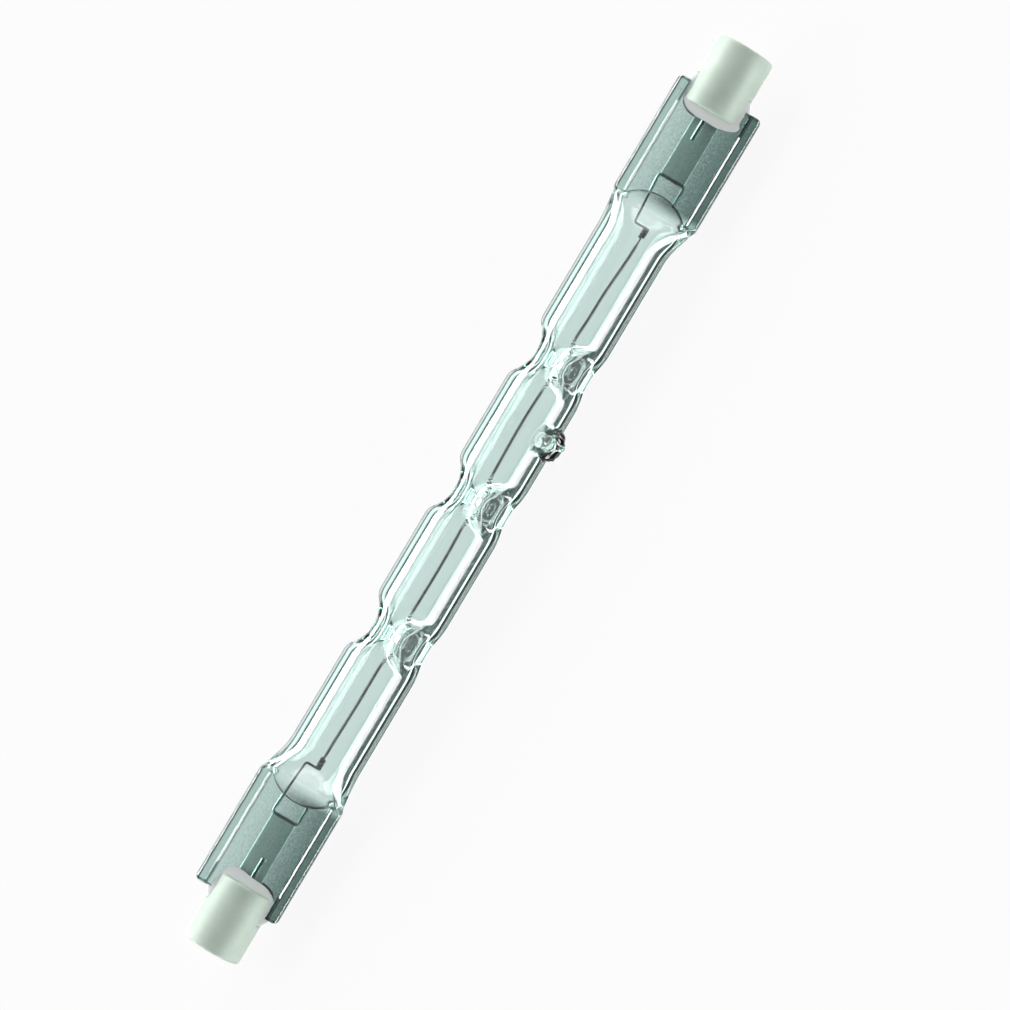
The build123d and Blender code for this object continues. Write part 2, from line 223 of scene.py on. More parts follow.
def graft(points, faces, places, radius, reach, profile, lean):
    """Opens the ring mesh round the exhaust stub and grows the stub's own rings out of the edge.
    profile is (distance from the stub's axis, height over the glass) from the root to the tip."""
    step = 2 * math.pi / ring_points
    middle = round(tip_turn / step)
    wide = math.ceil(math.asin(reach / radius) / step)
    inside = [i for i, x in enumerate(places) if abs(x - tip_station) <= reach + 1e-6]
    low, high = inside[0], inside[-1]
    cols = [middle - wide + k for k in range(2 * wide + 1)]
    loop = [(low, c) for c in cols] + [(i, cols[-1]) for i in range(low + 1, high)]
    loop += [(high, c) for c in reversed(cols)] + [(i, cols[0]) for i in range(high - 1, low, -1)]
    opened = {(i, c % ring_points) for i in range(low, high) for c in cols[:-1]}
    kept = [f for key, f in faces if key not in opened]
    out = np.array([0, math.cos(tip_turn), math.sin(tip_turn)])
    across = np.array([0, -math.sin(tip_turn), math.cos(tip_turn)])
    along = np.array([1.0, 0, 0])
    edge = [i * ring_points + c % ring_points for i, c in loop]
    flat = [points[e] - along * tip_station for e in edge]
    turns = [math.atan2(p @ across, p @ along) for p in flat]
    far = [math.hypot(p @ across, p @ along) for p in flat]
    rings = []
    root = profile[0][0]
    for f in (0.35, 0.7):
        rings.append([(d + (root - d) * f, 0.0, 0.0) for d in far])
    rings += [[(rho, height, push)] * len(edge) for (rho, height), push in zip(profile, lean)]
    previous = edge
    for number, ring in enumerate(rings):
        rho, height, push = ring[0]
        if rho == 0:
            points.append(along * (tip_station + push) + out * (radius + height))
            kept += [(previous[k], previous[(k + 1) % len(edge)], len(points) - 1) for k in range(len(edge))]
            break
        current = []
        for (rho, height, push), turn in zip(ring, turns):
            crinkle = 1 + min(height, 0.5) * tip_waves * (
                math.sin(4 * turn + 0.9 * number) + 0.8 * math.sin(7 * turn - 1.3 * number + 1))
            spot = Vector((math.cos(turn) * rho, math.sin(turn) * rho, height)) * 3.6
            crinkle += min(height, 0.5) * tip_lumps * noise.noise(spot)
            r = rho * crinkle
            v = r * math.sin(turn)
            place = along * (tip_station + r * math.cos(turn) + push) + across * v
            points.append(place + out * (math.sqrt(radius**2 - v * v) + height))
            current.append(len(points) - 1)
        kept += [
            (previous[k], previous[(k + 1) % len(edge)], current[(k + 1) % len(edge)], current[k])
            for k in range(len(edge))
        ]
        previous = current
    return kept


def ring_faces(count):
    """Faces between neighbouring rings, each with the place that it has in the mesh."""
    return [
        ((i, j), (i * ring_points + j, i * ring_points + (j + 1) % ring_points,
                  (i + 1) * ring_points + (j + 1) % ring_points, (i + 1) * ring_points + j))
        for i in range(count - 1) for j in range(ring_points)
    ]


def end_strip(first, flip):
    """Closes a flat end between the upper and the lower half of its ring."""
    half = ring_points // 2
    strip = []
    for j in range(half):
        a, b = j, j + 1
        c, d = (ring_points - j - 1) % ring_points, (ring_points - j) % ring_points
        corners = [first + a, first + b, first + c, first + d]
        face = [v for k, v in enumerate(corners) if v not in corners[:k]]
        if len(face) > 2:
            strip.append(tuple(reversed(face)) if flip else tuple(face))
    return strip


outer_places = ring_places(seal_outer_end)
outer_points = [np.array([x, y, z]) for x in outer_places for y, z in outside(x)]
stub = [(2.2, 0.0), (2.02, 0.05), (1.88, 0.16), (1.8, 0.32), (1.77, 0.5), (1.74, 0.7), (1.68, 0.9),
        (1.56, 1.1), (1.38, 1.27), (1.14, 1.4), (0.88, 1.49), (0.64, 1.55), (0.46, 1.63), (0.38, 1.74),
        (0.32, 1.86), (0.24, 1.97), (0.12, 2.04), (0.0, 2.06)]
stub_lean = [0, 0, 0, 0, 0, 0, 0, 0, 0, 0, 0.03, 0.06, 0.11, 0.17, 0.23, 0.28, 0.31, 0.32]
stub_reach = 2.45
outer_faces = ring_faces(len(outer_places))
outer_faces = graft(outer_points, outer_faces, outer_places, tube_radius, stub_reach, stub, stub_lean)
outer_faces += end_strip(0, True) + end_strip((len(outer_places) - 1) * ring_points, False)

# Bore of the tube, and the wedge that it runs out into between the collapsed walls
front_depth = 1.9
front_radius = (chamber_half_width**2 + front_depth**2) / (2 * front_depth)
wedge_flat = 39.05


def bore_ring(x, forward):
    """Ring of the hollow; forward bends it to the rounded front of the wedge."""
    at = abs(x)
    if at <= shoulder_start:
        return np.column_stack([np.full(ring_points, x), pressed_tube(x, bore_radius, 2)])
    sign = math.copysign(1, x)
    rows = []
    wedge = (bore_radius, wedge_flat, chamber_half_width, chamber_end_half)
    guess = flattened(x, *wedge)
    for j in range(ring_points):
        y = guess[j, 0] - side_shift(x)
        drop = front_radius - math.sqrt(front_radius**2 - min(abs(y), chamber_half_width) ** 2)
        place = at - drop * forward
        y, z = flattened(sign * max(place, shoulder_start), *wedge)[j]
        rows.append((sign * place, y, z))
    return np.array(rows)


wedge_steps = 30
wedge_tip = chamber_end - chamber_end_half
bore_rings = []
bore_places = []
for k in range(wedge_steps, 0, -1):
    x = -shoulder_start - (wedge_tip - shoulder_start) * k / wedge_steps
    bore_rings.append(bore_ring(x, (k / wedge_steps) ** 2))
    bore_places.append(x)
for x in ring_places(shoulder_start):
    bore_rings.append(bore_ring(x, 0))
    bore_places.append(x)
for k in range(1, wedge_steps + 1):
    x = shoulder_start + (wedge_tip - shoulder_start) * k / wedge_steps
    bore_rings.append(bore_ring(x, (k / wedge_steps) ** 2))
    bore_places.append(x)
for sign in (-1, 1):
    last = bore_rings[0] if sign < 0 else bore_rings[-1]
    for a in (30, 55, 75):
        rounded = last.copy()
        rounded[:, 0] += sign * chamber_end_half * math.sin(math.radians(a))
        rounded[:, 2] *= math.cos(math.radians(a))
        if sign < 0:
            bore_rings.insert(0, rounded)
            bore_places.insert(0, -chamber_end)
        else:
            bore_rings.append(rounded)
            bore_places.append(chamber_end)
bore_points = [p for ring in bore_rings for p in ring]
funnel = [(1.35, 0.0), (1.2, 0.05), (1.1, 0.18), (1.04, 0.4), (0.98, 0.7), (0.88, 1.0), (0.7, 1.25),
          (0.4, 1.4), (0.0, 1.45)]
funnel_reach = 1.6
bore_faces = ring_faces(len(bore_rings))
bore_faces = graft(bore_points, bore_faces, bore_places, bore_radius, funnel_reach, funnel, [0] * len(funnel))
bore_faces += end_strip(0, True) + end_strip((len(bore_rings) - 1) * ring_points, False)


def wire_shell(path, radius, sides):
    """Closed round tube along a path of points."""
    path = np.asarray(path, float)
    along = np.gradient(path, axis=0)
    along /= np.linalg.norm(along, axis=1)[:, None]
    up = np.array([0.0, 0.0, 1.0])
    if abs(along[0] @ up) > 0.9:
        up = np.array([0.0, 1.0, 0.0])
    points, faces = [], []
    turns = np.linspace(0, 2 * math.pi, sides, endpoint=False)
    for p, d in zip(path, along):
        up = up - d * (up @ d)
        up /= np.linalg.norm(up)
        beside = np.cross(d, up)
        points += [p + radius * (math.cos(a) * up + math.sin(a) * beside) for a in turns]
    for i in range(len(path) - 1):
        for j in range(sides):
            k = (j + 1) % sides
            faces.append((i * sides + j, i * sides + k, (i + 1) * sides + k, (i + 1) * sides + j))
    last = (len(path) - 1) * sides
    faces.append(tuple(range(sides))[::-1])
    faces.append(tuple(last + j for j in range(sides)))
    return points, faces


def rounded_path(corners, bends, step=0.1):
    """Straight runs between corners, each corner turned on its own bend radius."""
    corners = [np.array(c, float) for c in corners]
    line = [corners[0]]
    for i in range(1, len(corners) - 1):
        a = corners[i - 1] - corners[i]
        b = corners[i + 1] - corners[i]
        a /= np.linalg.norm(a)
        b /= np.linalg.norm(b)
        half = math.acos(np.clip(a @ b, -1, 1)) / 2
        cut = bends[i - 1] / math.tan(half)
        middle = corners[i] + (a + b) / np.linalg.norm(a + b) * bends[i - 1] / math.sin(half)
        start, end = corners[i] + a * cut, corners[i] + b * cut
        for t in np.linspace(0, 1, 9):
            arm = (start - middle) * (1 - t) + (end - middle) * t
            line.append(middle + arm / np.linalg.norm(arm) * bends[i - 1])
    line.append(corners[-1])
    path = [line[0]]
    for p in line[1:]:
        run = np.linalg.norm(p - path[-1])
        if run < 1e-6:
            continue
        count = max(1, math.ceil(run / step))
        start = path[-1]
        path += [start + (p - start) * k / count for k in range(1, count + 1)]
    return path


# Fine hollows that stay in the seals round the wires, a little wider than the wires themselves
hook_bar = 42.1
hook_half_spacing = 1.625
hook_bend = 0.42
hook_room_end = 39.83
hook_room_radius = 0.21
elbow_middle = 35.25
elbow_height = 1.2
lead_plane = -0.088
pin_inner_end = 47.15
pin_room_radius = 0.335


def hook_line(sign, first, last):
    """The hook of an inner lead in the seal, from the free arm's end to where the long arm comes in."""
    shift = side_shift(sign)
    slope = (hook_half_spacing - elbow_height) / (hook_bar - elbow_middle)
    corners = [
        (sign * first, shift - hook_half_spacing, lead_plane),
        (sign * hook_bar, shift - hook_half_spacing, lead_plane),
        (sign * hook_bar, shift + hook_half_spacing, lead_plane),
        (sign * last, shift + hook_half_spacing - slope * (hook_bar - last), lead_plane),
    ]
    return rounded_path(corners, [hook_bend, hook_bend])


envelope_points = list(outer_points)
envelope_faces = list(outer_faces)
shells = [(bore_points, [tuple(reversed(f)) for f in bore_faces])]
for sign in (-1, 1):
    points, faces = wire_shell(hook_line(sign, hook_room_end, hook_room_end), hook_room_radius, 16)
    shells.append((points, [tuple(reversed(f)) for f in faces]))
    pin_room = [(sign * x, 0, 0) for x in np.linspace(pin_inner_end - 0.085, seal_outer_end - 0.05, 24)]
    points, faces = wire_shell(pin_room, pin_room_radius, 20)
    shells.append((points, [tuple(reversed(f)) for f in faces]))
for points, faces in shells:
    first = len(envelope_points)
    envelope_points += list(points)
    envelope_faces += [tuple(first + v for v in f) for f in faces]

quartz, surface, add, join = shader("quartz")
surface.inputs["Transmission Weight"].default_value = 1.0
surface.inputs["IOR"].default_value = 1.458
surface.inputs["Roughness"].default_value = 0.0
place = add("ShaderNodeTexCoord")
parts = add("ShaderNodeSeparateXYZ")
far_out = add("ShaderNodeMath", operation="ABSOLUTE")
pressed = add("ShaderNodeMapRange", From_Min=0.0384, From_Max=0.0394)
# Base colour: the pressed seals are made darker than the clear tube. A random mottle gives them uneven haze,
# and a painted shade over it darkens them towards one side across, standing in for the darker surroundings
# seen through the seals.
smoke = add("ShaderNodeTexNoise", Scale=4500.0, Detail=1.0)
painted_shade_slant = add("ShaderNodeMapRange", From_Min=0.0055, From_Max=-0.0045, To_Min=-0.04, To_Max=0.75)
amount = add("ShaderNodeMath", operation="MULTIPLY_ADD")
amount.inputs[1].default_value = 0.35
seal_haze_and_painted_shade = add("ShaderNodeValToRGB")
seal_haze_and_painted_shade.color_ramp.elements[0].position = 0.3
seal_haze_and_painted_shade.color_ramp.elements[0].color = (0.98, 0.96, 0.96, 1)
seal_haze_and_painted_shade.color_ramp.elements[1].position = 0.8
seal_haze_and_painted_shade.color_ramp.elements[1].color = (0.17, 0.23, 0.22, 1)
clear = add("ShaderNodeMix", data_type="RGBA")
clear.inputs["A"].default_value = (0.98, 0.99, 0.985, 1)
join(place.outputs["Object"], parts.inputs["Vector"])
join(parts.outputs["X"], far_out.inputs[0])
join(far_out.outputs["Value"], pressed.inputs["Value"])
join(place.outputs["Object"], smoke.inputs["Vector"])
join(parts.outputs["Y"], painted_shade_slant.inputs["Value"])
join(smoke.outputs["Fac"], amount.inputs[0])
join(painted_shade_slant.outputs["Result"], amount.inputs[2])
join(amount.outputs["Value"], seal_haze_and_painted_shade.inputs["Fac"])
join(pressed.outputs["Result"], clear.inputs["Factor"])
join(seal_haze_and_painted_shade.outputs["Color"], clear.inputs["B"])
join(clear.outputs["Result"], surface.inputs["Base Color"])
waves = add("ShaderNodeTexNoise", Scale=140.0, Detail=2.0)
bump = add("ShaderNodeBump", Strength=0.05, Distance=0.0002)
join(place.outputs["Object"], waves.inputs["Vector"])
join(waves.outputs["Fac"], bump.inputs["Height"])
join(bump.outputs["Normal"], surface.inputs["Normal"])
# The grey-green absorption is painted shade. Clear quartz has no such tint; it stands in for the darker
# surroundings that the tube shows through its walls.
tint = add("ShaderNodeVolumeAbsorption", Color=(0.74, 0.84, 0.82, 1), Density=1000.0)
join(tint.outputs["Volume"], quartz.node_tree.nodes["Material Output"].inputs["Volume"])
envelope = new_piece("quartz_glass", envelope_points, envelope_faces, quartz)
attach(envelope, "root")
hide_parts("quartz_envelope")

# Filament. One tungsten wire wound into a single coil: close turns in the four lit lengths, open
# turns where it passes the necks, and a slim straight tail into the clamp at each end.
turn_radius = 0.16
filament_wire = 0.05
close_pitch = 0.16
open_pitch = 0.4
open_half = 3.35
filament_end = 34.0
tail_ends = {-1: 35.3, 1: 35.81}
tail_radius = 0.11
wander = [(-35.9, -0.02, -0.1), (-33.9, 0.0, -0.1), (-26.0, -0.12, 0.05), (-18.1, -0.1, 0.0),
          (-9.0, -0.2, -0.06), (-0.2, 0.0, 0.0), (10.0, 0.2, 0.06), (17.7, 0.0, 0.0),
          (25.5, -0.28, -0.08), (33.9, -0.66, -0.08), (35.9, -0.68, -0.1)]


def filament_axis(x):
    """Where the coil's axis runs, sideways and in height. It strays a little between the necks."""
    for (x0, y0, z0), (x1, y1, z1) in zip(wander, wander[1:]):
        if x <= x1:
            t = ease((x - x0) / (x1 - x0))
            return y0 + (y1 - y0) * t, z0 + (z1 - z0) * t
    return wander[-1][1:]


def coil_pitch(x):
    """From one turn to the next: close in the lit lengths, open in the necks."""
    near = min(abs(x - station) for station in neck_stations)
    t = ease((open_half + 0.5 - near) / 1.0)
    return close_pitch + (open_pitch - close_pitch) * t


coil = []
x, turn = -filament_end, 0.0
turn_steps = 14
while x < filament_end:
    y, z = filament_axis(x)
    reach = turn_radius * min(1.0, 0.5 + (filament_end - abs(x)) * 1.2)
    coil.append((x, y + reach * math.cos(turn), z + reach * math.sin(turn)))
    turn += 2 * math.pi / turn_steps
    x += coil_pitch(x) / turn_steps
points, faces = wire_shell(coil, filament_wire, 6)
for sign in (-1, 1):
    tail_places = np.linspace(filament_end - 0.1, tail_ends[sign], 8)
    tail = [(sign * x, *filament_axis(sign * x)) for x in tail_places]
    tail_points, tail_faces = wire_shell(tail, tail_radius, 10)
    first = len(points)
    points += tail_points
    faces += [tuple(first + v for v in f) for f in tail_faces]

tungsten, surface, add, join = shader("tungsten")
surface.inputs["Metallic"].default_value = 1.0
surface.inputs["Roughness"].default_value = 0.42
grain = add("ShaderNodeTexNoise", Scale=9000.0, Detail=3.0)
place = add("ShaderNodeTexCoord")
shade = add("ShaderNodeValToRGB")
shade.color_ramp.elements[0].color = (0.015, 0.016, 0.017, 1)
shade.color_ramp.elements[1].color = (0.09, 0.093, 0.097, 1)
join(place.outputs["Object"], grain.inputs["Vector"])
join(grain.outputs["Fac"], shade.inputs["Fac"])
join(shade.outputs["Color"], surface.inputs["Base Color"])
filament = new_piece("filament_coil", points, faces, tungsten)
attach(filament, "root")
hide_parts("filament")

# Inner leads. Drawn wires, one at each end: a hook in the seal over the foil, a long arm through the
# wedge into the bore, an elbow towards the axis, and four turns wound tight on the filament's tail.
lead_radius = 0.14
winding_turns = 4
winding_pitch = 0.28
wind_radius = 0.26
winding_sides = 16
for side, sign, winding_start in (("left", -1, 35.15), ("right", 1, 35.7)):
    shift = side_shift(sign)
    axis_y, axis_z = filament_axis(sign * (winding_start - 0.5))
    corners = [
        (sign * 39.5, shift - hook_half_spacing, lead_plane),
        (sign * hook_bar, shift - hook_half_spacing, lead_plane),
        (sign * hook_bar, shift + hook_half_spacing, lead_plane),
        (sign * winding_start, shift + elbow_height, lead_plane),
        (sign * winding_start, axis_y + 0.3, axis_z + wind_radius),
    ]
    path = rounded_path(corners, [hook_bend, hook_bend, 0.3], step=0.12)
    for k in range(1, winding_turns * winding_sides + 1):
        a = math.pi / 2 + 2 * math.pi * k / winding_sides
        path.append((
            sign * (winding_start - winding_pitch * k / winding_sides),
            axis_y + wind_radius * math.cos(a),
            axis_z + wind_radius * math.sin(a),
        ))
    points, faces = wire_shell(path, lead_radius * 0.97, 10)
    lead = new_piece(f"inner_lead_{side}", points, faces, tungsten)
    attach(lead, "root")
    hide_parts(f"filament_lead_{side}")

# Seal foils. Molybdenum strips a few hundredths of a millimetre thick, rolled, with feathered edges,
# welded to both wires and buckled slightly when the hot glass was pressed on them.
foil_face = -0.2
foil_thickness = 0.05
foil_half_width = 1.5
foil_inner_end = 41.85
foil_length = 8.1
foil_columns = 81
foil_rows = 31

molybdenum, surface, add, join = shader("molybdenum")
surface.inputs["Metallic"].default_value = 1.0
surface.inputs["Roughness"].default_value = 0.38
place = add("ShaderNodeTexCoord")
rolled = add("ShaderNodeMapping")
rolled.inputs["Scale"].default_value = (300, 6000, 6000)
lines = add("ShaderNodeTexNoise", Scale=1.0, Detail=4.0)
shade = add("ShaderNodeValToRGB")
shade.color_ramp.elements[0].color = (0.58, 0.62, 0.60, 1)
shade.color_ramp.elements[1].color = (0.84, 0.88, 0.86, 1)
bump = add("ShaderNodeBump", Strength=0.25, Distance=0.00002)
join(place.outputs["Object"], rolled.inputs["Vector"])
join(rolled.outputs["Vector"], lines.inputs["Vector"])
join(lines.outputs["Fac"], shade.inputs["Fac"])
join(shade.outputs["Color"], surface.inputs["Base Color"])
join(lines.outputs["Fac"], bump.inputs["Height"])
join(bump.outputs["Normal"], surface.inputs["Normal"])
for side, sign in (("left", -1), ("right", 1)):
    upper, lower = [], []
    for i in range(foil_columns):
        u = i / (foil_columns - 1)
        for j in range(foil_rows):
            v = 2 * j / (foil_rows - 1) - 1
            buckle = 0.012 * math.sin(9 * u + 2.2 * v + sign) * math.sin(4.3 * v + 5 * u)
            half = foil_thickness / 2 * max(0.12, 1 - abs(v) ** 8)
            x = sign * (foil_inner_end + foil_length * u)
            y = side_shift(sign) + foil_half_width * v
            middle = foil_face - foil_thickness / 2 + buckle
            upper.append((x, y, middle + half))
            lower.append((x, y, middle - half))
    count = len(upper)
    faces = []
    for i in range(foil_columns - 1):
        for j in range(foil_rows - 1):
            a, b = i * foil_rows + j, (i + 1) * foil_rows + j
            faces.append((a, b, b + 1, a + 1))
            faces.append((count + a, count + a + 1, count + b + 1, count + b))
    rim = list(range(foil_rows)) + [i * foil_rows + foil_rows - 1 for i in range(1, foil_columns)]
    rim += [(foil_columns - 1) * foil_rows + j for j in range(foil_rows - 2, -1, -1)]
    rim += [i * foil_rows for i in range(foil_columns - 2, 0, -1)]
    for a, b in zip(rim, rim[1:] + rim[:1]):
        faces.append((a, b, count + b, count + a))
    if sign < 0:
        faces = [tuple(reversed(f)) for f in faces]
    foil = new_piece(f"sealing_foil_{side}", upper + lower, faces, molybdenum)
    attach(foil, "root")
    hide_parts(f"seal_foil_{side}")

# Outer leads. Stiff molybdenum pins, darkened by the heat of sealing, welded on the foils and
# running out through the glass into the contacts.
scorched, surface, add, join = shader("scorched_molybdenum")
surface.inputs["Metallic"].default_value = 1.0
surface.inputs["Roughness"].default_value = 0.5
place = add("ShaderNodeTexCoord")
drawn = add("ShaderNodeMapping")
drawn.inputs["Scale"].default_value = (400, 5000, 5000)
lines = add("ShaderNodeTexNoise", Scale=1.0, Detail=3.0)
shade = add("ShaderNodeValToRGB")
shade.color_ramp.elements[0].color = (0.02, 0.021, 0.022, 1)
shade.color_ramp.elements[1].color = (0.07, 0.07, 0.068, 1)
join(place.outputs["Object"], drawn.inputs["Vector"])
join(drawn.outputs["Vector"], lines.inputs["Vector"])
join(lines.outputs["Fac"], shade.inputs["Fac"])
join(shade.outputs["Color"], surface.inputs["Base Color"])
pin_radius = 0.25
foil_outer_end = foil_inner_end + foil_length
for side, sign in (("left", -1), ("right", 1)):
    bar_places = (pin_inner_end, pin_inner_end + 0.04, *np.linspace(47.3, 55.4, 12), 55.53)
    points, faces = wire_shell([(sign * x, 0, 0) for x in bar_places], pin_radius, 20)
    for p in points:
        if abs(p[0]) < foil_outer_end:
            p[2] = max(p[2], foil_face)
    pin = new_piece(f"outer_pin_{side}", points, faces, scorched)
    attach(pin, "root")
    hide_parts(f"outer_lead_{side}")

# Ceramic caps. Steatite, pressed from powder and fired: round bodies slotted across their inner end
# to take the seal, with softly broken edges and a recess in the outer end for the contact.
cap_radius = 3.55
cap_inner_end = 50.64
half_length = 59.0
slot_bottom = 54.09
slot_half = 1.65
recess_bottom = 56.5
recess_radius = 2.0
seat_end = 57.2
seat_radius = 1.8
shank_hole = 0.75


def turned(profile, sides, sign):
    """Body turned on the bulb's axis from (place along, radius), with a closed outline."""
    points, faces = [], []
    for x, r in profile:
        for k in range(sides):
            a = 2 * math.pi * k / sides
            points.append((sign * x, r * math.cos(a), r * math.sin(a)))
    count = len(profile)
    for i in range(count):
        for k in range(sides):
            n = (k + 1) % sides
            j = (i + 1) % count
            face = (i * sides + k, i * sides + n, j * sides + n, j * sides + k)
            faces.append(face if sign > 0 else tuple(reversed(face)))
    return points, faces


def break_edge(corner, before, after, size, steps=3):
    """Points of a small round in place of a sharp corner of a profile."""
    corner, before, after = (np.array(p, float) for p in (corner, before, after))
    a = (before - corner) / np.linalg.norm(before - corner)
    b = (after - corner) / np.linalg.norm(after - corner)
    start, end = corner + a * size, corner + b * size
    shares = np.linspace(0, 1, steps + 1)
    return [tuple((1 - t) ** 2 * start + 2 * t * (1 - t) * corner + t * t * end) for t in shares]


def softened(profile, sizes):
    """The profile with each corner broken by its own size."""
    made = []
    for i, (corner, size) in enumerate(zip(profile, sizes)):
        if size:
            made += break_edge(corner, profile[i - 1], profile[(i + 1) % len(profile)], size)
        else:
            made.append(corner)
    return made


def cut_away(target, cutter):
    """Takes the cutter's volume out of the target, once, and removes the cutter."""
    cut = target.modifiers.new("cut", "BOOLEAN")
    cut.operation = "DIFFERENCE"
    cut.solver = "EXACT"
    cut.object = cutter
    graph = bpy.context.evaluated_depsgraph_get()
    mesh = bpy.data.meshes.new_from_object(target.evaluated_get(graph))
    target.modifiers.clear()
    old = target.data
    target.data = mesh
    if old.users == 0:
        bpy.data.meshes.remove(old)
    bpy.data.objects.remove(cutter)
    mesh.set_sharp_from_angle(angle=math.radians(40))


def box_piece(x0, x1, y0, y1, z0, z1, material):
    """A plain box to cut with."""
    points = [(x, y, z) for x in (x0, x1) for y in (y0, y1) for z in (z0, z1)]
    faces = [(0, 1, 3, 2), (4, 6, 7, 5), (0, 4, 5, 1), (2, 3, 7, 6), (0, 2, 6, 4), (1, 5, 7, 3)]
    return new_piece("cutter", points, faces, material, smooth=False)


steatite, surface, add, join = shader("steatite")
surface.inputs["Roughness"].default_value = 0.55
place = add("ShaderNodeTexCoord")
cloud = add("ShaderNodeTexNoise", Scale=260.0, Detail=4.0)
speck = add("ShaderNodeTexNoise", Scale=3200.0, Detail=3.0)
shade = add("ShaderNodeValToRGB")
shade.color_ramp.elements[0].position = 0.3
shade.color_ramp.elements[0].color = (0.56, 0.69, 0.58, 1)
shade.color_ramp.elements[1].position = 0.7
shade.color_ramp.elements[1].color = (0.69, 0.81, 0.71, 1)
bump = add("ShaderNodeBump", Strength=0.25, Distance=0.00003)
join(place.outputs["Object"], cloud.inputs["Vector"])
join(place.outputs["Object"], speck.inputs["Vector"])
join(cloud.outputs["Fac"], shade.inputs["Fac"])
join(shade.outputs["Color"], surface.inputs["Base Color"])
join(speck.outputs["Fac"], bump.inputs["Height"])
join(bump.outputs["Normal"], surface.inputs["Normal"])
cap_profile = [(cap_inner_end, shank_hole), (cap_inner_end, cap_radius), (half_length, cap_radius),
               (half_length, recess_radius), (seat_end, recess_radius), (seat_end, seat_radius),
               (recess_bottom, seat_radius), (recess_bottom, shank_hole)]
for side, sign in (("left", -1), ("right", 1)):
    points, faces = turned(softened(cap_profile, [0, 0.32, 0.32, 0.22, 0, 0, 0.05, 0]), 96, sign)
    cap = new_piece(f"steatite_cap_{side}", points, faces, steatite)
    near, far = sorted((sign * (cap_inner_end - 1), sign * slot_bottom))
    cut_away(cap, box_piece(near, far, -5, 5, -slot_half, slot_half, steatite))
    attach(cap, "root")
    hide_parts(f"ceramic_cap_{side}")

# Cement. White paste put in the slot before the seal went in, squeezed out over the seal's faces as
# a dome and past the sides of the cap, then baked hard. It fills the slot round the glass and pin.
cement, surface, add, join = shader("cement")
surface.inputs["Roughness"].default_value = 0.85
place = add("ShaderNodeTexCoord")
lumps = add("ShaderNodeTexNoise", Scale=900.0, Detail=5.0)
shade = add("ShaderNodeValToRGB")
shade.color_ramp.elements[0].position = 0.3
shade.color_ramp.elements[0].color = (0.92, 0.97, 0.96, 1)
shade.color_ramp.elements[1].position = 0.7
shade.color_ramp.elements[1].color = (0.97, 1.0, 0.99, 1)
bump = add("ShaderNodeBump", Strength=0.5, Distance=0.00008)
join(place.outputs["Object"], lumps.inputs["Vector"])
join(lumps.outputs["Fac"], shade.inputs["Fac"])
join(shade.outputs["Color"], surface.inputs["Base Color"])
join(lumps.outputs["Fac"], bump.inputs["Height"])
join(bump.outputs["Normal"], surface.inputs["Normal"])
lump_middle = 52.3
lump_reach = (3.45, 4.05)
lump_height, slot_height = 2.45, 1.95
lump_rings, lump_sides = 48, 72
cement_play = 0.005
smears = {"left": (-0.93, 0.62, 0.1), "right": (-0.55, -0.8, 0.12)}
for side, sign in (("left", -1), ("right", 1)):
    smear = Vector(smears[side][:2] + (0.45,)).normalized()
    points, faces = [], []
    for i in range(lump_rings + 1):
        polar = 0.02 + (math.pi - 0.04) * i / lump_rings
        for j in range(lump_sides):
            a = 2 * math.pi * j / lump_sides
            way = Vector((-math.cos(polar), math.sin(polar) * math.cos(a), math.sin(polar) * math.sin(a)))
            swell = 1 + 0.03 * noise.noise(way * 2.5 + Vector((5 * sign, 0, 0)))
            swell += 0.008 * noise.noise(way * 11)
            swell += smears[side][2] * math.exp(-((way - smear).length / 0.3) ** 2)
            square_off = (math.cos(a) ** 4 + math.sin(a) ** 4) ** -0.25 * swell
            x = lump_middle + lump_reach[0] * way.x * swell
            height = lump_height + (slot_height - lump_height) * ease((x - 50.5) / 0.8)
            y, z = way.y * lump_reach[1] * square_off, way.z * height * square_off
            points.append((sign * min(x, slot_bottom - 0.02), y, z))
    for i in range(lump_rings):
        for j in range(lump_sides):
            k = (j + 1) % lump_sides
            face = (i * lump_sides + j, (i + 1) * lump_sides + j, (i + 1) * lump_sides + k, i * lump_sides + k)
            faces.append(face if sign > 0 else tuple(reversed(face)))
    first = tuple(range(lump_sides))
    last = tuple(lump_rings * lump_sides + j for j in range(lump_sides))
    faces += [first, tuple(reversed(last))] if sign > 0 else [tuple(reversed(first)), last]
    lump = new_piece(f"cement_lump_{side}", points, faces, cement)
    cap_copy = bpy.data.objects.new("cutter", bpy.data.objects[f"steatite_cap_{side}"].data)
    bpy.context.scene.collection.objects.link(cap_copy)
    cut_away(lump, cap_copy)
    near, far = sorted((sign * 47.0, sign * (seal_outer_end + cement_play)))
    half = seal_web_half + cement_play
    cut_away(lump, box_piece(near, far, -6, 6, -half, half, cement))
    bored = [(sign * x, 0, 0) for x in (52.6, 53.0, 53.8, 54.4)]
    points, faces = wire_shell(bored, pin_radius + cement_play, 20)
    cut_away(lump, new_piece("cutter", points, faces, cement))
    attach(lump, "root")
    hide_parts(f"cap_cement_{side}")

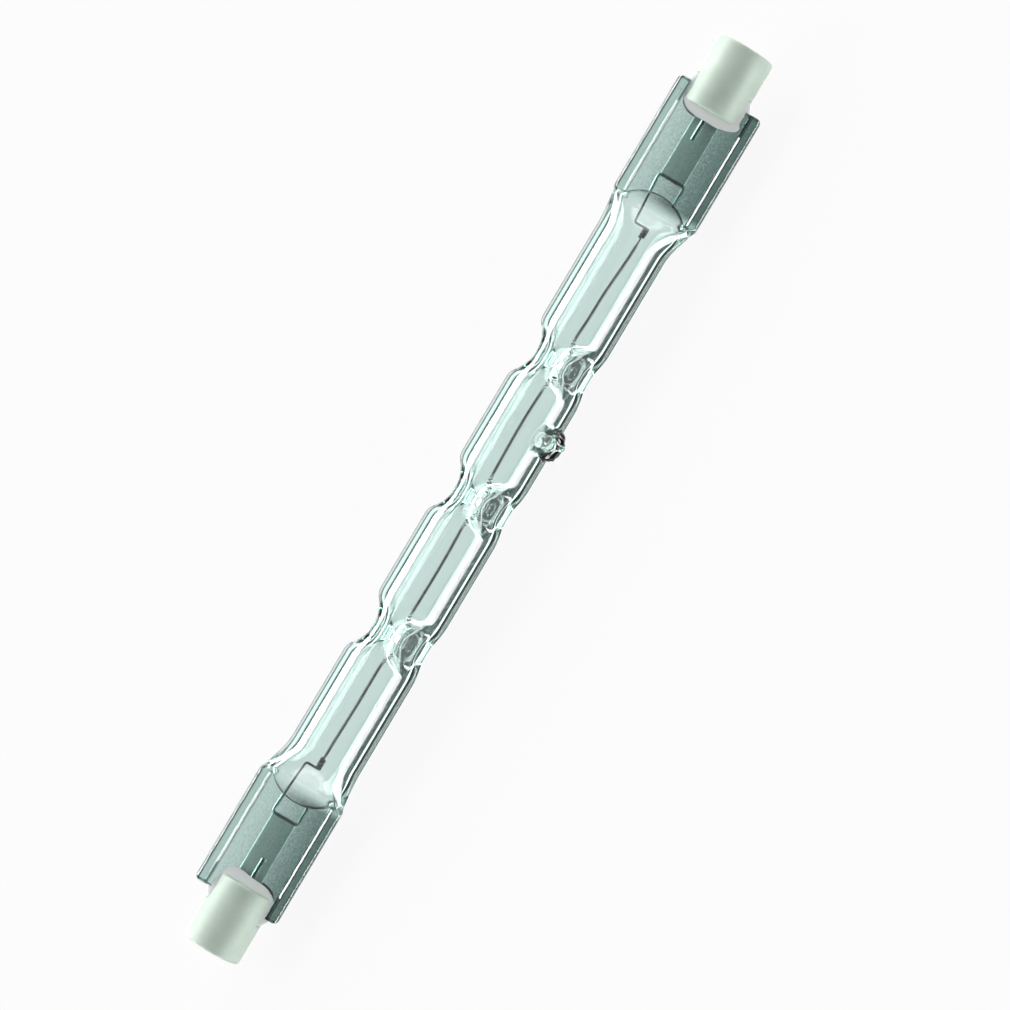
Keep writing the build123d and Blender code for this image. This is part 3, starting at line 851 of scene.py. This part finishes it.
# Contacts. Turned rivets of nickel-plated metal, pressed on the pins, their broad heads at the
# bottom of the caps' recesses where the holder's sprung plungers meet them.
contact_face = 57.1
head_radius = 1.7
nickel, surface, add, join = shader("nickel")
surface.inputs["Metallic"].default_value = 1.0
place = add("ShaderNodeTexCoord")
wear = add("ShaderNodeTexNoise", Scale=1500.0, Detail=4.0)
shade = add("ShaderNodeValToRGB")
shade.color_ramp.elements[0].color = (0.55, 0.54, 0.50, 1)
shade.color_ramp.elements[1].color = (0.75, 0.74, 0.70, 1)
rough = add("ShaderNodeMapRange", To_Min=0.22, To_Max=0.45)
join(place.outputs["Object"], wear.inputs["Vector"])
join(wear.outputs["Fac"], shade.inputs["Fac"])
join(shade.outputs["Color"], surface.inputs["Base Color"])
join(wear.outputs["Fac"], rough.inputs["Value"])
join(rough.outputs["Result"], surface.inputs["Roughness"])
contact_profile = [(slot_bottom, 0.3), (slot_bottom, 0.7), (recess_bottom, 0.7), (recess_bottom, head_radius),
                   (contact_face, head_radius), (contact_face, 0.001), (slot_bottom + 1.5, 0.001),
                   (slot_bottom + 1.5, 0.3)]
for side, sign in (("left", -1), ("right", 1)):
    points, faces = turned(softened(contact_profile, [0, 0.08, 0, 0.06, 0.15, 0, 0, 0]), 64, sign)
    rivet = new_piece(f"contact_rivet_{side}", points, faces, nickel)
    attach(rivet, "root")
    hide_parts(f"contact_{side}")

# Table. A plain sheet of white paper on a light box. The eye sees it white, it bounces some light up
# on the bulb, and what is seen through or in the glass is the studio around the bulb instead.
paper, surface, add, join = shader("paper")
surface.inputs["Base Color"].default_value = (0.85, 0.85, 0.85, 1)
surface.inputs["Roughness"].default_value = 0.9
surface.inputs["Specular IOR Level"].default_value = 0.1
glow = add("ShaderNodeEmission", Color=(1, 1, 1, 1), Strength=1.0)
clear = add("ShaderNodeBsdfTransparent")
rays = add("ShaderNodeLightPath")
share = add("ShaderNodeMapRange", To_Min=0.55, To_Max=0.92)
shining = add("ShaderNodeMath", operation="MAXIMUM")
early = add("ShaderNodeMath", operation="LESS_THAN")
early.inputs[1].default_value = 0.5
gone = add("ShaderNodeMath", operation="MULTIPLY")
lit = add("ShaderNodeMixShader")
both = add("ShaderNodeMixShader")
join(rays.outputs["Is Camera Ray"], share.inputs["Value"])
join(share.outputs["Result"], lit.inputs["Fac"])
join(surface.outputs["BSDF"], lit.inputs[1])
join(glow.outputs["Emission"], lit.inputs[2])
join(rays.outputs["Is Glossy Ray"], shining.inputs[0])
join(rays.outputs["Is Transmission Ray"], shining.inputs[1])
join(rays.outputs["Diffuse Depth"], early.inputs[0])
join(shining.outputs["Value"], gone.inputs[0])
join(early.outputs["Value"], gone.inputs[1])
join(gone.outputs["Value"], both.inputs["Fac"])
join(lit.outputs["Shader"], both.inputs[1])
join(clear.outputs["BSDF"], both.inputs[2])
join(both.outputs["Shader"], paper.node_tree.nodes["Material Output"].inputs["Surface"])
table_mesh = bpy.data.meshes.new("table")
table_mesh.from_pydata([(-3, -3, 0), (3, -3, 0), (3, 3, 0), (-3, 3, 0)], [], [(0, 1, 2, 3)])
table_mesh.materials.append(paper)
table = bpy.data.objects.new("table", table_mesh)
bpy.context.scene.collection.objects.link(table)
table.location.z = -0.00002

# Light. A studio that changes only with the angle round the bulb: white behind it, dusk beside that,
# and a long bright lamp on each side that the glass mirrors as white bands. Matt surfaces get soft
# light from the same two sides. Angles are in degrees, from square on the seals towards across.
across = Vector((0, math.cos(roll), math.sin(roll)))
square = Vector((0, -math.sin(roll), math.cos(roll)))
glass_tones = [(-180, 1.0), (-175, 1.0), (-170, 0.1), (-140, 0.05), (-136, 0.9), (-126, 1.0), (-120, 0.05),
               (-85, 0.08), (-45, 0.7), (0, 1.0), (55, 0.75), (100, 0.25), (126, 0.1), (133, 0.8),
               (158, 0.8), (162, 0.15), (167, 0.15), (171, 1.0), (180, 1.0)]
lamp_tones = [(-180, 0), (-137, 0), (-134, 0.08), (-128, 0.08), (-126, 0), (-84, 0), (-82, 0.7), (-62, 0.7),
              (-60, 0), (74, 0), (76, 1), (97, 1), (99, 0), (133, 0), (136, 0.04), (156, 0.04), (159, 0),
              (180, 0)]
lamp_power = 28.0
soft_tones = [(-180, 0.03), (-57, 0.03), (-52, 0.42), (-34, 0.42), (-28, 0.03), (62, 0.03), (68, 1.0),
              (104, 1.0), (110, 0.03), (180, 0.03)]
soft_power = 3.2
end_tone = 3.5
end_start = 0.975
end_blend = 60.0
world = bpy.data.worlds.new("studio")
bpy.context.scene.world = world
world.use_nodes = True
tree = world.node_tree
add = tree.nodes.new
join = tree.links.new
look = add("ShaderNodeTexCoord")


def toward(axis):
    """How far the looked-at direction leans along an axis."""
    dot = add("ShaderNodeVectorMath")
    dot.operation = "DOT_PRODUCT"
    dot.inputs[1].default_value = axis
    join(look.outputs["Generated"], dot.inputs[0])
    return dot.outputs["Value"]


def math_node(operation, first, second):
    """Output of a math node on two sockets or numbers."""
    node = add("ShaderNodeMath")
    node.operation = operation
    for socket, value in zip(node.inputs, (first, second)):
        if isinstance(value, (int, float)):
            socket.default_value = value
        else:
            join(value, socket)
    return node.outputs["Value"]


def tones(stops, factor):
    """Greys by the angle round the bulb, from stops of (degrees, grey)."""
    ramp = add("ShaderNodeValToRGB")
    marks = ramp.color_ramp.elements
    while len(marks) < len(stops):
        marks.new(0.5)
    for mark, (angle, grey) in zip(marks, stops):
        mark.position = (angle + 180) / 360
        mark.color = (grey, grey, grey, 1)
    join(factor, ramp.inputs["Fac"])
    return ramp.outputs["Color"]


angle = math_node("ARCTAN2", toward(across), toward(square))
factor = math_node("MULTIPLY_ADD", angle, 1 / (2 * math.pi))
factor.node.inputs[2].default_value = 0.5
lengthwise = math_node("ABSOLUTE", toward(Vector((1, 0, 0))), 0)
beside = math_node("MULTIPLY", math_node("SUBTRACT", end_start, lengthwise), end_blend)
beside.node.use_clamp = True
around = math_node("MULTIPLY_ADD", tones(lamp_tones, factor), lamp_power)
join(tones(glass_tones, factor), around.node.inputs[2])
mirrored = math_node("MULTIPLY_ADD", math_node("SUBTRACT", around, end_tone), beside)
mirrored.node.inputs[2].default_value = end_tone
soft = math_node("MULTIPLY", tones(soft_tones, factor), soft_power)
rays = add("ShaderNodeLightPath")
shining = math_node("MAXIMUM", rays.outputs["Is Glossy Ray"], rays.outputs["Is Transmission Ray"])
early = math_node("LESS_THAN", rays.outputs["Diffuse Depth"], 0.5)
polished = math_node("MULTIPLY", shining, early)
strength = math_node("MULTIPLY_ADD", math_node("SUBTRACT", mirrored, soft), polished)
join(soft, strength.node.inputs[2])
seen = math_node("MAXIMUM", strength, rays.outputs["Is Camera Ray"])
join(seen, tree.nodes["Background"].inputs["Strength"])
tree.nodes["Background"].inputs["Color"].default_value = (1, 1, 1, 1)

# Camera. A long lens high over the table, looking square on the seals from so far that the bulb
# hardly tapers, and turned so that the bulb climbs to the right as in the photograph. The centre is
# the pixel of the photograph at which the bulb's middle lies.
photo_side = 1010
centre = (478.3, 499.4)
pixels_per_mm = 8.86
climb = (0.51197, 0.859)
lens = 135
camera_data = bpy.data.cameras.new("camera")
camera_data.lens = lens
camera_data.sensor_width = 36
camera = bpy.data.objects.new("camera", camera_data)
bpy.context.scene.collection.objects.link(camera)
along = Vector((1, 0, 0))
right = along * climb[0] - across * climb[1]
up = along * climb[1] + across * climb[0]
off_right = (photo_side / 2 - centre[0]) / pixels_per_mm / 1000
off_down = (photo_side / 2 - centre[1]) / pixels_per_mm / 1000
distance = photo_side / pixels_per_mm / 1000 * lens / camera_data.sensor_width
place = Matrix((right, up, square)).transposed().to_4x4()
middle = Vector((0, rest_shift / 1000, tube_radius / 1000))
place.translation = middle + right * off_right - up * off_down + square * distance
camera.matrix_world = place
camera_data.clip_start = 0.01
camera_data.clip_end = 10
bpy.context.scene.camera = camera
bpy.context.scene.view_settings.view_transform = "Standard"
